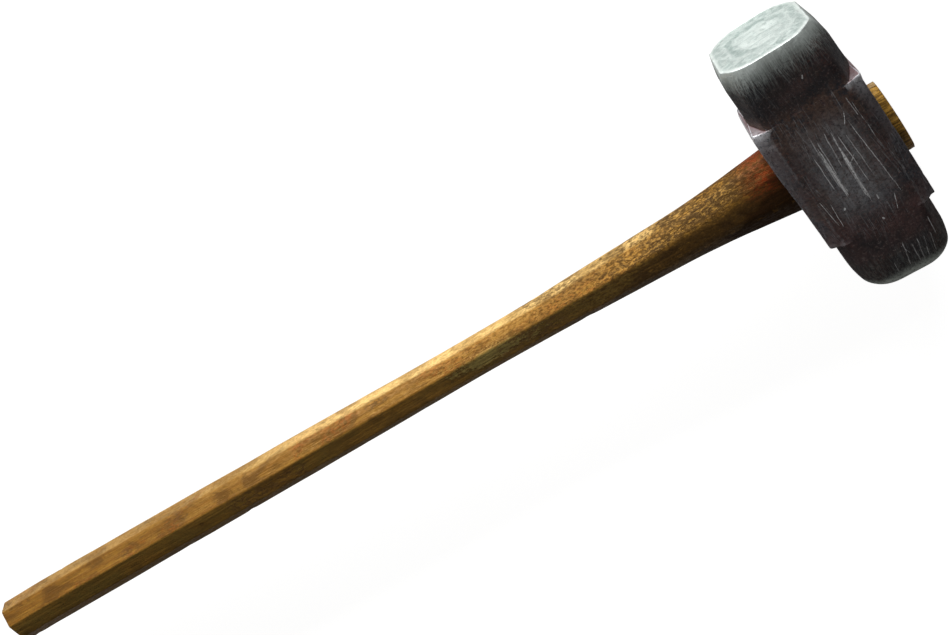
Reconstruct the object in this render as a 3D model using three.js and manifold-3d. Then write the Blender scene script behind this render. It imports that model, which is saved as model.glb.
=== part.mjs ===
// Double-faced sledgehammer: a forged head with an eye, an eight-sided haft shaved down to a
// tongue in that eye, a wooden wedge along the tongue and two steel wedges across it.
// Millimetres. +X runs along the haft from the butt to the head, +Y along the head towards its
// struck face, +Z up. The hammer lies on its lower cheek, whose flat is z = 0, and the centre
// of the eye stands over the origin.
import * as THREE from 'three';
import { mergeVertices } from 'three/addons/utils/BufferGeometryUtils.js';
import Module from 'manifold-3d';

const wasm = await Module();
wasm.setup();

// ---- head: across X is its width, along Y its length, up Z its depth -------------------
const headLength = 218;
const cheekLength = 112; // the wide middle of the head, around the eye
const cheekWidth = 81.6; // at mid-length, where the sides are fullest
const cheekDepth = 68.6;
const cheekSwell = 0.7; // how much each side gains from the shoulders to mid-length
const cheekEdgeIn = 9.8; // the chamfer on the cheek's long edges, along X
const cheekEdgeDrop = 4.8; // the same chamfer, along Z
const pollOverlap = 12; // how far a poll's solid reaches into the cheek before they join

// Each poll is a run of sections out from the shoulder. A section is narrower than the cheek by
// inset on each side and shallower by recess, and its corners are cut by cornerIn along X and
// cornerDrop along Z.
const struckPoll = {
  shoulder: { inset: 2.4, recess: 0.25, cornerIn: 7.8, cornerDrop: 27 },
  arris: { inset: 3.1, recess: 0.25, cornerIn: 9.5, cornerDrop: 20 },
  face: { inset: 7.6, recess: 0.6, cornerIn: 12, cornerDrop: 13.3 },
  bevelLength: 17,
};
const plainPoll = {
  shoulder: { inset: 3.6, recess: 0.25, cornerIn: 7.8, cornerDrop: 27 },
  arris: { inset: 4.4, recess: 0.7, cornerIn: 8.5, cornerDrop: 17 },
  knee: { inset: 7.8, recess: 3.1, cornerIn: 8.5, cornerDrop: 12 },
  face: { inset: 14.4, recess: 8.1, cornerIn: 10.5, cornerDrop: 9.5 },
  bevelLength: 22,
  kneeLength: 8,
};

// ---- eye: an oval hole along X, tightest at its middle ---------------------------------
const eyeMouthHalfLength = 28; // along Y, on the haft's side
const eyeMouthHalfDepth = 17.2; // along Z
const eyeWaistHalfLength = 26.6;
const eyeWaistHalfDepth = 15.6;
const eyeEndHalfLength = 30.6; // on the wedged side
const eyeEndHalfDepth = 17.8;

// ---- haft -------------------------------------------------------------------------------
const haftLength = 914; // butt to the end of the tongue
const tongueProud = 8; // how far the tongue stands out of the eye
const tongueEase = 1.6; // the eased edge of the tongue's end
const buttHalf = 20.5; // half the distance across the flats
const buttEase = 0.8; // the eased edge of the butt
const waistHalf = 14.7;
const waistFromHead = 235; // the thinnest place, from the head's near side
const swellHalf = 18;
const swellFromHead = 137;
const neckHalf = 20;
const neckFromHead = 74;
const shoulderHalfLength = 28.5; // along Y, where the haft meets the head
const shoulderHalfDepth = 18.9;
const neckHalfDepth = 18;

// ---- wedges -----------------------------------------------------------------------------
const woodWedgeReach = 56; // how deep it is driven from the end of the tongue
const woodWedgeThick = 8.4; // at its head
const woodWedgeTip = 2.4;
const steelWedgeReach = 34;
const steelWedgeWide = 23; // along Z
const steelWedgeThick = 4.6; // along Y, at its head
const steelWedgeTip = 1.4;
const steelWedgeSpacing = 28; // between the two wedges' middles

// ---- fits -------------------------------------------------------------------------------
const fitGap = 0.3; // between any two pieces that touch
const cutMargin = 5; // how far a cutting solid runs past the surface that it opens

// ---- worked out from the sizes above ----------------------------------------------------
const axisHeight = cheekDepth / 2;
const headSide = cheekWidth / 2;
const tongueEnd = headSide + tongueProud;
const butt = tongueEnd - haftLength;
const haftShoulder = -(headSide + fitGap);
const ovalSides = 32;
const cornerSides = 8;

// ---- lofting ----------------------------------------------------------------------------
// A closed solid through a list of stations { at, outline }: at is the place along the axis,
// and outline(turn) gives the two coordinates across it. A lathe lays out the rings and its
// points are then moved onto the outlines. The axis is +Y and the outlines lie in X and Z.
function loft(stations, sides) {
  const last = stations.length - 1;
  const rings = stations.map((station, index) => new THREE.Vector2(1, index));
  const profile = [new THREE.Vector2(0, 0), ...rings, new THREE.Vector2(0, last)];
  const geometry = new THREE.LatheGeometry(profile, sides, Math.PI / cornerSides);
  const position = geometry.attributes.position;
  for (let i = 0; i < position.count; i += 1) {
    const { at, outline } = stations[Math.round(position.getY(i))];
    const onRing = Math.hypot(position.getX(i), position.getZ(i)) > 0.5;
    const turn = Math.atan2(position.getZ(i), position.getX(i));
    const [across, up] = onRing ? outline(turn) : [0, 0];
    position.setXYZ(i, across, at, up);
  }
  return geometry;
}

// The same, with the axis turned onto +X, so that the outlines lie in Y and Z.
function loftAlongX(stations, sides) {
  return loft(stations, sides).rotateZ(-Math.PI / 2);
}

// The head's outline at one place: a rectangle with its corners cut off, for a ring of eight points.
function cutRectangle({ inset, recess, cornerIn, cornerDrop }) {
  const halfWidth = headSide - inset;
  const halfDepth = axisHeight - recess;
  return (turn) => {
    const side = Math.sign(Math.cos(turn));
    const level = Math.sign(Math.sin(turn));
    const onSide = Math.abs(Math.cos(turn)) > Math.abs(Math.sin(turn));
    if (onSide) return [side * halfWidth, level * (halfDepth - cornerDrop)];
    return [side * (halfWidth - cornerIn), level * halfDepth];
  };
}

// An eight-sided figure with flats on the axes, stretched to its two half sizes.
function octagon(halfLength, halfDepth) {
  const flat = Math.PI / 4;
  return (turn) => {
    const reach = 1 / Math.cos(turn - flat * Math.round(turn / flat));
    return [halfLength * reach * Math.cos(turn), halfDepth * reach * Math.sin(turn)];
  };
}

function oval(halfLength, halfDepth) {
  return (turn) => [halfLength * Math.cos(turn), halfDepth * Math.sin(turn)];
}

// ---- solids -----------------------------------------------------------------------------
function toSolid(geometry) {
  const plain = geometry.index ? geometry.clone() : geometry;
  plain.deleteAttribute('normal');
  plain.deleteAttribute('uv');
  const merged = mergeVertices(plain, 1e-5);
  const corners = Array.from(merged.index.array);
  const faces = [];
  for (let i = 0; i < corners.length; i += 3) {
    const [a, b, c] = corners.slice(i, i + 3);
    if (a !== b && b !== c && c !== a) faces.push(a, b, c);
  }
  const vertProperties = new Float32Array(merged.attributes.position.array);
  return new wasm.Manifold(new wasm.Mesh({ numProp: 3, vertProperties, triVerts: new Uint32Array(faces) }));
}

function toGeometry(solid) {
  const { vertProperties, triVerts } = solid.getMesh();
  const geometry = new THREE.BufferGeometry();
  geometry.setAttribute('position', new THREE.BufferAttribute(vertProperties, 3));
  geometry.setIndex(new THREE.BufferAttribute(triVerts, 1));
  geometry.computeVertexNormals();
  return geometry;
}

// ---- head -------------------------------------------------------------------------------
function cheekSolid() {
  const half = cheekLength / 2;
  const steps = [-1, -0.5, 0, 0.5, 1];
  const stations = steps.map((step) => {
    const inset = cheekSwell * step * step;
    const section = { inset, recess: 0, cornerIn: cheekEdgeIn, cornerDrop: cheekEdgeDrop };
    return { at: half * step, outline: cutRectangle(section) };
  });
  return toSolid(loft(stations, cornerSides));
}

function struckPollSolid() {
  const { shoulder, arris, face, bevelLength } = struckPoll;
  const end = headLength / 2;
  return toSolid(loft([
    { at: cheekLength / 2 - pollOverlap, outline: cutRectangle(shoulder) },
    { at: end - bevelLength, outline: cutRectangle(arris) },
    { at: end, outline: cutRectangle(face) },
  ], cornerSides));
}

function plainPollSolid() {
  const { shoulder, arris, knee, face, bevelLength, kneeLength } = plainPoll;
  const end = -headLength / 2;
  return toSolid(loft([
    { at: end, outline: cutRectangle(face) },
    { at: end + kneeLength, outline: cutRectangle(knee) },
    { at: end + bevelLength, outline: cutRectangle(arris) },
    { at: -cheekLength / 2 + pollOverlap, outline: cutRectangle(shoulder) },
  ], cornerSides));
}

// The eye's outline at its mouth, waist and end, less a clearance all round.
function eyeStations(clearance, from, to) {
  const mouth = oval(eyeMouthHalfLength - clearance, eyeMouthHalfDepth - clearance);
  const waist = oval(eyeWaistHalfLength - clearance, eyeWaistHalfDepth - clearance);
  const end = oval(eyeEndHalfLength - clearance, eyeEndHalfDepth - clearance);
  return [
    { at: from, outline: mouth },
    { at: -headSide, outline: mouth },
    { at: 0, outline: waist },
    { at: headSide, outline: end },
    { at: to, outline: end },
  ];
}

function eyeSolid() {
  return toSolid(loftAlongX(eyeStations(0, -headSide - cutMargin, headSide + cutMargin), ovalSides));
}

function headSolid() {
  return cheekSolid().add(struckPollSolid()).add(plainPollSolid()).subtract(eyeSolid());
}

// ---- haft -------------------------------------------------------------------------------
// Half sizes of the haft between the butt and the head, read off one smooth curve through
// the butt, waist, swell, neck and shoulder.
function haftStations() {
  const nearSide = -headSide;
  const lengths = new THREE.SplineCurve([
    new THREE.Vector2(butt + buttEase, buttHalf),
    new THREE.Vector2((butt + nearSide - waistFromHead) / 2, (buttHalf + waistHalf) / 2),
    new THREE.Vector2(nearSide - waistFromHead, waistHalf),
    new THREE.Vector2(nearSide - swellFromHead, swellHalf),
    new THREE.Vector2(nearSide - neckFromHead, neckHalf),
    new THREE.Vector2(haftShoulder, shoulderHalfLength),
  ]);
  const stepsPerSpan = 4;
  const places = lengths.getPoints(stepsPerSpan * (lengths.points.length - 1));
  const neck = nearSide - neckFromHead;
  return places.map(({ x, y }) => {
    const grown = THREE.MathUtils.smoothstep(x, nearSide - swellFromHead, neck);
    const nearHead = THREE.MathUtils.clamp((x - neck) / (haftShoulder - neck), 0, 1);
    const fullDepth = THREE.MathUtils.lerp(neckHalfDepth, shoulderHalfDepth, nearHead);
    return { at: x, outline: octagon(y, THREE.MathUtils.lerp(y, fullDepth, grown)) };
  });
}

function tongueStations() {
  const [, ...inEye] = eyeStations(fitGap, haftShoulder, tongueEnd - tongueEase);
  const eased = fitGap + tongueEase;
  const start = { at: haftShoulder, outline: inEye[0].outline };
  const tip = oval(eyeEndHalfLength - eased, eyeEndHalfDepth - eased);
  return [start, ...inEye, { at: tongueEnd, outline: tip }];
}

function haftBlank() {
  const eased = octagon(buttHalf - buttEase, buttHalf - buttEase);
  const stations = [{ at: butt, outline: eased }, ...haftStations(), ...tongueStations()];
  return toSolid(loftAlongX(stations, ovalSides));
}

// ---- wedges -----------------------------------------------------------------------------
// A tapered blade driven in from the tongue's end: its outline, in length and thickness, is
// drawn out to its width and centred on it. spare is added to every face.
function wedgeBlade(reach, thick, tip, wide, spare) {
  const outer = tongueEnd + (spare > 0 ? cutMargin : 0);
  const inner = tongueEnd - reach - spare;
  const slope = (thick - tip) / 2 / reach;
  const halfAt = (x) => thick / 2 + spare - slope * (tongueEnd - x);
  const outline = new THREE.Shape();
  outline.moveTo(inner, -halfAt(inner));
  outline.lineTo(outer, -halfAt(outer));
  outline.lineTo(outer, halfAt(outer));
  outline.lineTo(inner, halfAt(inner));
  const full = wide + 2 * spare;
  const blade = new THREE.ExtrudeGeometry(outline, { depth: full, bevelEnabled: false });
  return blade.translate(0, 0, -full / 2);
}

function woodWedgeBlade(spare) {
  const wide = 2 * (eyeEndHalfLength + cutMargin);
  const blade = wedgeBlade(woodWedgeReach, woodWedgeThick, woodWedgeTip, wide, spare);
  return toSolid(blade.rotateX(Math.PI / 2));
}

function steelWedgeBlade(place, spare) {
  const blade = wedgeBlade(steelWedgeReach, steelWedgeThick, steelWedgeTip, steelWedgeWide, spare);
  return toSolid(blade.translate(0, place, 0));
}

const steelWedgePlaces = { near_struck_poll: steelWedgeSpacing / 2, near_plain_poll: -steelWedgeSpacing / 2 };

function steelWedgeSlots() {
  const [first, second] = Object.values(steelWedgePlaces).map((place) => steelWedgeBlade(place, fitGap));
  return first.add(second);
}

function haftSolid() {
  return haftBlank().subtract(woodWedgeBlade(fitGap)).subtract(steelWedgeSlots());
}

function woodWedgeSolid() {
  return woodWedgeBlade(0).intersect(haftBlank()).subtract(steelWedgeSlots());
}

// ---- materials --------------------------------------------------------------------------
const forgedSteel = { color: 0x4a4446, roughness: 0.55, metalness: 0.85 };
const oiledHickory = { color: 0xa06a22, roughness: 0.45, metalness: 0 };
const paleWedgeWood = { color: 0xc79a55, roughness: 0.6, metalness: 0 };
const mildSteel = { color: 0x6f6f70, roughness: 0.5, metalness: 0.9 };

// ---- the hammer -------------------------------------------------------------------------
const hammer = new THREE.Group();
hammer.position.z = axisHeight;

function addPiece(name, solid, look) {
  const piece = new THREE.Mesh(toGeometry(solid), new THREE.MeshStandardMaterial(look));
  piece.name = name;
  hammer.add(piece);
}

addPiece('head', headSolid(), forgedSteel);
addPiece('haft', haftSolid(), oiledHickory);
addPiece('wooden_wedge', woodWedgeSolid(), paleWedgeWood);
for (const [side, place] of Object.entries(steelWedgePlaces)) {
  addPiece(`steel_wedge_${side}`, steelWedgeBlade(place, 0), mildSteel);
}

export default hammer;
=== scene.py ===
# %% [markdown]
# # A forged sledgehammer, piece by piece
# The hammer is a steel head with two polls, an eight-sided hickory haft, a wooden wedge along
# the haft's tongue and two steel wedges across it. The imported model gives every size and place.
# Each piece is made again here as a dense surface, because a forging and a shaved haft have
# soft edges, knocks and waves that a flat-sided model leaves out. All lengths are in metres.
# +X runs from the butt to the head, +Y to the struck face, and +Z up.

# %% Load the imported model
import math

import bpy
import numpy as np
from mathutils import Matrix, Vector


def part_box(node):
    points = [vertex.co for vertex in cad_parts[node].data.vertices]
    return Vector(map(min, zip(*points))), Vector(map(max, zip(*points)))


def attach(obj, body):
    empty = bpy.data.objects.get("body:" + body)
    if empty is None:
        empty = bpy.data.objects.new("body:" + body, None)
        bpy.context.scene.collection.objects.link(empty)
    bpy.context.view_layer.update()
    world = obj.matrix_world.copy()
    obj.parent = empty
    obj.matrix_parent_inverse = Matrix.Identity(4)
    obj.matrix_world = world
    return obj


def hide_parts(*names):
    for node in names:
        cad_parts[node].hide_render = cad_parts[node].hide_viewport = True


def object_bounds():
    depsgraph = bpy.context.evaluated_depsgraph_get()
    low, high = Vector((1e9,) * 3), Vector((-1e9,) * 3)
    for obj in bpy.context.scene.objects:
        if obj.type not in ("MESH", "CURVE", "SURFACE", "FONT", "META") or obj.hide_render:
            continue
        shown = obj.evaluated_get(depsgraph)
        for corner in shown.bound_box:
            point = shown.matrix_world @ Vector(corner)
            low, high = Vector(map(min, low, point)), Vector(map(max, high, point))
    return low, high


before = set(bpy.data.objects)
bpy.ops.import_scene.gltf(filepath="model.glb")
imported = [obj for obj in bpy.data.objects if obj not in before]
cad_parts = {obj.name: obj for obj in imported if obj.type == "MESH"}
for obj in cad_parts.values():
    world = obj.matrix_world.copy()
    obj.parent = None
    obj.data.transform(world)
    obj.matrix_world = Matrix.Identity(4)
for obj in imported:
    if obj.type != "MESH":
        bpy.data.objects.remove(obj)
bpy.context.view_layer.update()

MM = 0.001
head_low, head_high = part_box("head")
haft_low, haft_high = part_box("haft")
head_size = head_high - head_low
HEAD_WIDTH, HEAD_DEPTH = head_size.x, head_size.z
AXIS_HEIGHT = (head_low.z + head_high.z) / 2
TONGUE_END = haft_high.x
BUTT_END = haft_low.x
print("head", [round(v / MM, 1) for v in head_size], "mm")
print("haft from", round(BUTT_END / MM, 1), "to", round(TONGUE_END / MM, 1), "mm")

# %% [markdown]
# ## The camera
# The camera comes first, so that every test picture shows the same view. It stands over the
# head's struck side and looks down along the haft. It could be turned with three angles, but
# an aim point and a roll are easier to understand: the camera looks from its place to the aim
# point, and then turns about its own line of sight. The lens is shifted so that the hammer
# runs from corner to corner of the frame.

# %% Camera
CAMERA_PLACE = Vector((-0.01742, 0.44280, 0.89056))
CAMERA_AIM = Vector((-0.32696, 0.19183, AXIS_HEIGHT))
CAMERA_ROLL = math.radians(-39.111)
LENS_MM = 45.136
LENS_SHIFT = (0.15006, -0.13835)


def camera_matrix(place, aim, roll):
    """The camera's turn: its back points from the aim to the place, its level right is at
    right angles to that and to +Y, and the roll turns right and up about the back."""
    back = (place - aim).normalized()
    level = Vector((0, 1, 0)).cross(back).normalized()
    right = level * math.cos(roll) + back.cross(level) * math.sin(roll)
    turn = Matrix((right, back.cross(right), back)).transposed().to_4x4()
    return Matrix.Translation(place) @ turn


camera = bpy.data.objects.new("camera", bpy.data.cameras.new("camera"))
bpy.context.scene.collection.objects.link(camera)
camera.matrix_world = camera_matrix(CAMERA_PLACE, CAMERA_AIM, CAMERA_ROLL)
camera.data.lens = LENS_MM
camera.data.sensor_width = 36
camera.data.shift_x, camera.data.shift_y = LENS_SHIFT
camera.data.clip_start = 0.01
bpy.context.scene.camera = camera
print("camera is", round((CAMERA_PLACE - CAMERA_AIM).length, 3), "m from its aim")

# %% [markdown]
# ## Surfaces from rings
# A hammer head, a haft and a wedge are all long pieces whose cross-section changes on the
# way. They could be cut from boxes, or be subdivided cages, but then the edges' softness and
# the section at a given place are hard to say. Here each piece is a stack of rings. A ring is
# a polygon whose corners are rounded, and the stack is skinned with four-sided faces. The
# whole stack is one array, so a swell, a knock or a wave is one sum over all its points.

# %% A polygon with rounded corners
def rounded_outline(corners, setback, flat_steps, arc_steps):
    """Closed outlines with soft corners. corners is (ring, corner, 2), setback (ring, corner).

    Each corner P becomes the parabola (1-s)^2 A + 2s(1-s) P + s^2 B, where A and B lie
    setback before and after P on the two sides. Two corners that want more than their side
    share it in proportion. The sides between are divided evenly."""
    sizes = np.asarray(setback, float)[:, :, None]
    before = np.roll(corners, 1, axis=1) - corners
    after = np.roll(corners, -1, axis=1) - corners
    before_length = np.linalg.norm(before, axis=2, keepdims=True)
    after_length = np.linalg.norm(after, axis=2, keepdims=True)
    before_share = 0.97 * sizes / (sizes + np.roll(sizes, 1, axis=1))
    after_share = 0.97 * sizes / (sizes + np.roll(sizes, -1, axis=1))
    start = corners + before / before_length * np.minimum(sizes, before_share * before_length)
    end = corners + after / after_length * np.minimum(sizes, after_share * after_length)
    s = np.linspace(0, 1, arc_steps).reshape(1, 1, -1, 1)
    arc = (1 - s) ** 2 * start[:, :, None] + 2 * s * (1 - s) * corners[:, :, None]
    arc = arc + s**2 * end[:, :, None]
    t = np.linspace(0, 1, flat_steps + 2)[1:-1].reshape(1, 1, -1, 1)
    flat = end[:, :, None] * (1 - t) + np.roll(start, -1, axis=1)[:, :, None] * t
    return np.concatenate([arc, flat], axis=2).reshape(len(corners), -1, 2)


def corner_distance(outline, corners):
    """How far each point of an outline is from the nearest corner of its polygon."""
    gaps = outline[:, :, None] - corners[:, None]
    return np.linalg.norm(gaps, axis=3).min(axis=2)


# %% A run of stations with rounded turns
def rounded_run(stations, setbacks, spacing):
    """A line through stations of any number of sizes, with its turns rounded in the same way.

    Returns the line's points and, for each, how far along the line it lies."""
    stations = np.asarray(stations, float)
    line = [stations[:1]]
    for i in range(1, len(stations)):
        here, last = stations[i], stations[i - 1]
        length = np.linalg.norm(here - last)
        start = last + (here - last) / length * min(setbacks[i - 1], 0.48 * length)
        end = here - (here - last) / length * min(setbacks[i], 0.48 * length)
        steps = max(2, int(np.ceil(np.linalg.norm(end - start) / spacing)))
        t = np.linspace(0, 1, steps + 1)[:, None]
        line.append(start * (1 - t) + end * t)
        if i + 1 < len(stations) and setbacks[i] > 0:
            onward = stations[i + 1] - here
            away = np.linalg.norm(onward)
            leave = here + onward / away * min(setbacks[i], 0.48 * away)
            s = np.linspace(0, 1, 7)[1:-1, None]
            line.append((1 - s) ** 2 * end + 2 * s * (1 - s) * here + s**2 * leave)
    line = np.vstack(line)
    kept = np.r_[True, np.linalg.norm(np.diff(line, axis=0), axis=1) > 1e-7]
    line = line[kept]
    along = np.r_[0, np.cumsum(np.linalg.norm(np.diff(line, axis=0), axis=1))]
    return line, along


# %% Skinning a stack of rings
def skin(name, rings, marks):
    """One closed surface over a stack of rings, an array (ring, place, xyz).

    Neighbouring rings are joined by four-sided faces, and each end is closed by a fan to the
    middle of its last ring. The enclosed volume is the sum of p . (q x r) / 6 over all the
    triangles, and if it comes out negative every face is turned over. marks maps a name to
    one number for each point, which materials read as an attribute."""
    count, around, _ = rings.shape
    points = np.vstack([rings.reshape(-1, 3), rings[[0, -1]].mean(axis=1)])
    ring, place = np.meshgrid(np.arange(count - 1), np.arange(around), indexing="ij")
    here = ring * around + place
    beside = ring * around + (place + 1) % around
    quads = np.stack([here, beside, beside + around, here + around], -1).reshape(-1, 4)
    first = np.arange(around)
    second = (first + 1) % around
    far = (count - 1) * around
    start_fan = np.stack([second, first, np.full(around, count * around)], -1)
    end_fan = np.stack([far + first, far + second, np.full(around, count * around + 1)], -1)
    triangles = np.vstack([quads[:, [0, 1, 2]], quads[:, [0, 2, 3]], start_fan, end_fan])
    p, q, r = (points[triangles[:, k]] for k in range(3))
    volume = np.einsum("ij,ij->i", p, np.cross(q, r)).sum() / 6
    if volume < 0:
        quads, start_fan, end_fan = quads[:, ::-1], start_fan[:, ::-1], end_fan[:, ::-1]
    mesh = bpy.data.meshes.new(name)
    faces = quads.tolist() + start_fan.tolist() + end_fan.tolist()
    mesh.from_pydata(points.tolist(), [], faces)
    mesh.shade_smooth()
    for mark, values in marks.items():
        values = np.r_[values.ravel(), values[0].mean(), values[-1].mean()]
        stored = mesh.attributes.new(mark, "FLOAT", "POINT")
        stored.data.foreach_set("value", values.astype(np.float32))
    piece = bpy.data.objects.new(name, mesh)
    bpy.context.scene.collection.objects.link(piece)
    print(name, count, "rings of", around, "points,", round(abs(volume) * 1e6, 1), "cm3")
    return piece


# %% Which way is out
def outward(rings):
    """Unit normals of a grid of rings: the step around a ring crossed with the step along
    the stack, both taken between neighbours on either side, turned away from the middle."""
    along = np.gradient(rings, axis=0)
    around = np.roll(rings, -1, axis=1) - np.roll(rings, 1, axis=1)
    normal = np.cross(around, along)
    normal /= np.maximum(np.linalg.norm(normal, axis=2, keepdims=True), 1e-12)
    middle = rings.mean(axis=1, keepdims=True)
    lean = np.einsum("ijk,ijk->", normal, rings - middle)
    return normal * np.sign(lean)


# %% Lumps and knocks
def lumps(points, size, seed):
    """Smooth random numbers from -1 to 1. A lattice of random values stands size apart, and
    a point reads its eight nearest ones, weighted by 3t^2 - 2t^3 along each axis."""
    lattice = np.random.default_rng(seed).uniform(-1, 1, (32, 32, 32))
    cell = np.floor(points / size).astype(int)
    part = points / size - cell
    part = part * part * (3 - 2 * part)
    total = np.zeros(points.shape[:-1])
    for corner in np.ndindex(2, 2, 2):
        weight = np.where(np.array(corner) == 1, part, 1 - part).prod(axis=-1)
        x, y, z = np.moveaxis((cell + corner) % 32, -1, 0)
        total += weight * lattice[x, y, z]
    return total


def knocks(points, places, radius, depth):
    """How deep a scatter of knocks goes at each point: the sum of depth e^-(d/radius)^2."""
    total = np.zeros(points.shape[:-1])
    for place, wide, deep in zip(places, radius, depth):
        gap = ((points - place) ** 2).sum(axis=-1)
        total += deep * np.exp(-gap / wide**2)
    return total


# %% Cutting one piece with another
def carve(piece, cutters):
    """Takes the cutters out of the piece with Booleans, keeps the result as its mesh, and
    throws the cutters away."""
    for cutter in cutters:
        cut = piece.modifiers.new("cut", "BOOLEAN")
        cut.operation = "DIFFERENCE"
        cut.solver = "EXACT"
        cut.object = cutter
    seen = bpy.context.evaluated_depsgraph_get()
    shape = bpy.data.meshes.new_from_object(
        piece.evaluated_get(seen), preserve_all_data_layers=True, depsgraph=seen
    )
    piece.modifiers.clear()
    piece.data = shape
    for cutter in cutters:
        bpy.data.objects.remove(cutter)
    print(piece.name, "after cutting:", len(shape.polygons), "faces")


# %% [markdown]
# ## The head
# A head like this is forged from one billet. The middle, round the eye, keeps its full width
# and has a narrow chamfer on its long edges. The two polls are drawn in, so that they
# have long slanted corners, and a sharp step is left where they meet the middle. The struck
# poll ends in a slightly crowned face, the other poll in a blunter, rounder one.
# A box with bevels gives such corners only one width. Rings along Y give every place its own
# section: how far its sides are in from the middle's, how shallow it is, how much of its
# corners is cut away, and how round what is left has become.

# %% The head's sections
# Each row, in millimetres: place along Y, side inset, face recess, corner cut along X and
# along Z, softness of the corners at the sides and at the flats, how far the flats bulge, and
# how far the ring has shrunk towards the middle of the face.
STRUCK_SIDE = [
    (0, 0, 0, 9.8, 4.8, 1.7, 2.2, 0, 0),
    (28, 0.1, 0, 9.8, 4.8, 1.7, 2.2, 0, 0),
    (56, 0.3, 0, 9.8, 4.8, 1.7, 2.2, 0, 0),
    (56, 2.0, 0.05, 7.8, 26, 4, 4, 0, 0),
    (92, 2.6, 0.2, 9.3, 19.5, 3, 8, 1.2, 0),
    (108.3, 6.9, 0.9, 10.3, 12.6, 1.6, 14, 3.2, 0),
    (108.8, 6.9, 0.9, 10.3, 12.6, 1.6, 14, 3.2, 6),
]
STRUCK_TURNS = [0, 12, 2.4, 1.3, 6, 0.8, 0]
PLAIN_SIDE = [
    (0, 0, 0, 9.8, 4.8, 1.7, 2.2, 0, 0),
    (-28, 0.1, 0, 9.8, 4.8, 1.7, 2.2, 0, 0),
    (-56, 0.3, 0, 9.8, 4.8, 1.7, 2.2, 0, 0),
    (-56, 3.0, 0.05, 7.8, 27, 4, 4, 0, 0),
    (-87, 3.7, 0.5, 8.5, 17, 4, 7, 0.4, 0),
    (-101, 7.0, 2.6, 8.5, 12, 5, 8, 0.7, 0),
    (-108.8, 13.0, 7.2, 10.5, 9.5, 6, 8, 1, 0),
    (-109, 13.0, 7.2, 10.5, 9.5, 6, 8, 1, 6),
]
PLAIN_TURNS = [0, 12, 1.6, 1.3, 8, 5, 3.2, 0]
RING_SPACING = 1.0
FLAT_STEPS, ARC_STEPS = 20, 7
FACE_RINGS = 16
STRUCK_FACE, PLAIN_FACE = 109.4, -109
CHEEK_END = 56


# %% From sections to one half of the head
def head_half(sections, turns, face_at):
    """One half of the head, from its middle out to the centre of its face, in millimetres.

    The rows become a run of rings. The face goes on from the last one: its rings shrink by
    an even step, and its height falls from the centre with the square of the radius."""
    run, along = rounded_run(sections, turns, RING_SPACING)
    half_face = HEAD_WIDTH / MM / 2 - sections[-1][1]
    last_scale = 1 - sections[-1][8] / half_face
    scale = np.linspace(last_scale, 0.03, FACE_RINGS + 1)[1:]
    face = np.repeat(run[-1:], FACE_RINGS, axis=0)
    face[:, 0] = face_at + (run[-1, 0] - face_at) * (scale / last_scale) ** 2
    face[:, 8] = (1 - scale) * half_face
    edges = [station for station, turn in zip(sections[1:], turns[1:]) if 0 < turn < 4]
    edges = [edge for k, edge in enumerate(edges) if k != 1]
    gap = [np.linalg.norm(run[:, :5] - np.array(edge[:5]), axis=1) for edge in edges]
    gap = np.minimum(np.min(gap, axis=0) + run[:, 8], 60)
    on_step = np.abs(np.abs(run[:, 0]) - CHEEK_END) < 0.4
    on_step &= run[:, 4] > 6
    gap = np.r_[gap, face[:, 8]]
    on_step = np.r_[on_step, np.zeros(FACE_RINGS, bool)]
    return np.vstack([run, face]), gap, on_step


struck_run, struck_gap, struck_step = head_half(STRUCK_SIDE, STRUCK_TURNS, STRUCK_FACE)
plain_run, plain_gap, plain_step = head_half(PLAIN_SIDE, PLAIN_TURNS, PLAIN_FACE)
head_run = np.vstack([plain_run[::-1], struck_run[1:]])
run_gap = np.r_[plain_gap[::-1], struck_gap[1:]]
run_step = np.r_[plain_step[::-1], struck_step[1:]].astype(float)
print("the head has", len(head_run), "rings")

# %% Rings of the head
at, inset, recess, cut_x, cut_z, soft_side, soft_flat, bulge, shrink = head_run.T
half_x = HEAD_WIDTH / MM / 2 - inset
half_z = HEAD_DEPTH / MM / 2 - recess
flat_x, flat_z = half_x - cut_x, half_z - cut_z
corner_x = np.stack([half_x, flat_x, -flat_x, -half_x, -half_x, -flat_x, flat_x, half_x], 1)
corner_z = np.stack([flat_z, half_z, half_z, flat_z, -flat_z, -half_z, -half_z, -flat_z], 1)
head_corners = np.stack([corner_x, corner_z], axis=2)
soft = np.stack([soft_side, soft_flat, soft_flat, soft_side] * 2, 1)
head_outline = rounded_outline(head_corners, soft, FLAT_STEPS, ARC_STEPS)
from_corner = corner_distance(head_outline, head_corners)
crown = bulge[:, None] * (1 - (head_outline[:, :, 0] / half_x[:, None]) ** 2)
crown *= np.where(head_outline[:, :, 1] > 0, 0.45, 1)
head_outline[:, :, 1] += crown * head_outline[:, :, 1] / half_z[:, None]
face_scale = 1 - shrink / half_x
head_outline = head_outline * face_scale[:, None, None]
head_rings = np.empty(head_outline.shape[:2] + (3,))
head_rings[:, :, 0] = head_outline[:, :, 0]
head_rings[:, :, 1] = at[:, None]
head_rings[:, :, 2] = head_outline[:, :, 1] + AXIS_HEIGHT / MM
beside_flat = np.clip(30 - np.abs(head_rings[:, :, 0]), 0, 30) * (np.abs(at) < 80)[:, None]
from_edge = np.minimum(from_corner + shrink[:, None], run_gap[:, None] + beside_flat)
from_shoulder = np.abs(np.abs(at) - CHEEK_END)[:, None]
from_shoulder = np.minimum(from_shoulder + beside_flat, 60)
on_face = np.repeat((1 - face_scale)[:, None], head_rings.shape[1], axis=1)
on_step = run_step[:, None] * np.clip((np.abs(head_rings[:, :, 0]) - 28.5) / 3, 0, 1)

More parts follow.
